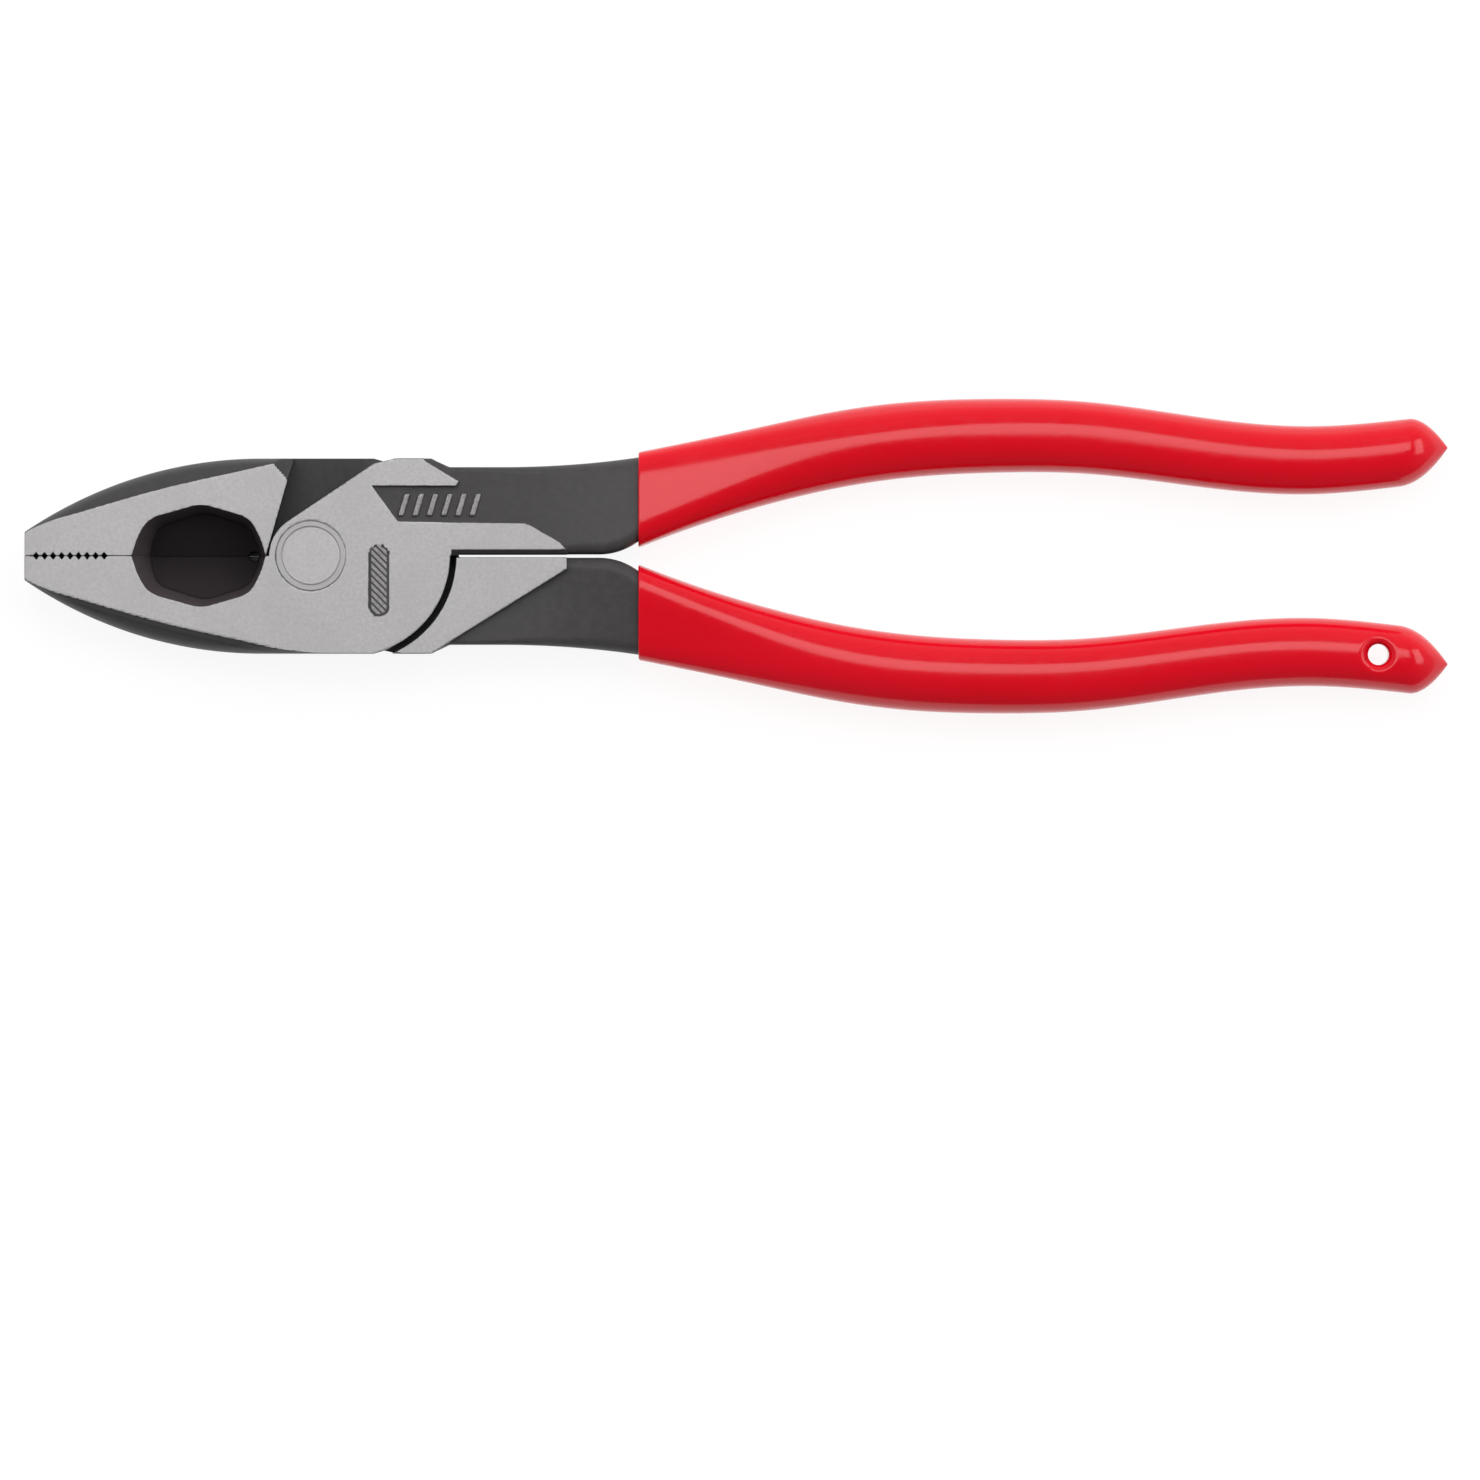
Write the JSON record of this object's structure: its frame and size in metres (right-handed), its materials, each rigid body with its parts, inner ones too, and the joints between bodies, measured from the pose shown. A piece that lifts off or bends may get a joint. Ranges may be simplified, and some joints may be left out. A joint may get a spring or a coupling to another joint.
{
  "type": "lineman pliers",
  "caption": "Lineman pliers with a square knurled nose, side cutter behind it, flush rivet joint and dipped handle grips.",
  "frame": {"origin": "the rivet's axis, in the plane of the rear face, on which the pliers lie", "axes": "+X from the rivet along the closed handles, so the nose points to -X; +Y towards the front half's handle; +Z out of the front face, along the rivet"},
  "size_m": [0.2395, 0.0528, 0.016],
  "materials": {
    "forged_steel": "ground satin faces, black oxide elsewhere",
    "rivet_steel": "ground satin",
    "dipped_vinyl": "glossy red dipped vinyl"
  },
  "bodies": {
    "rear_body": {"rear_half": "forged_steel", "pivot_rivet": "rivet_steel", "rear_half_grip": "dipped_vinyl"},
    "front_body": {"front_half": "forged_steel", "front_half_grip": "dipped_vinyl"}
  },
  "joints": [
    {"name": "jaw_pivot", "type": "hinge", "parent": "rear_body", "child": "front_body", "pos_m": [0, 0, 0.008], "axis": [0, 0, 1], "range_deg": [0, 40]}
  ]
}
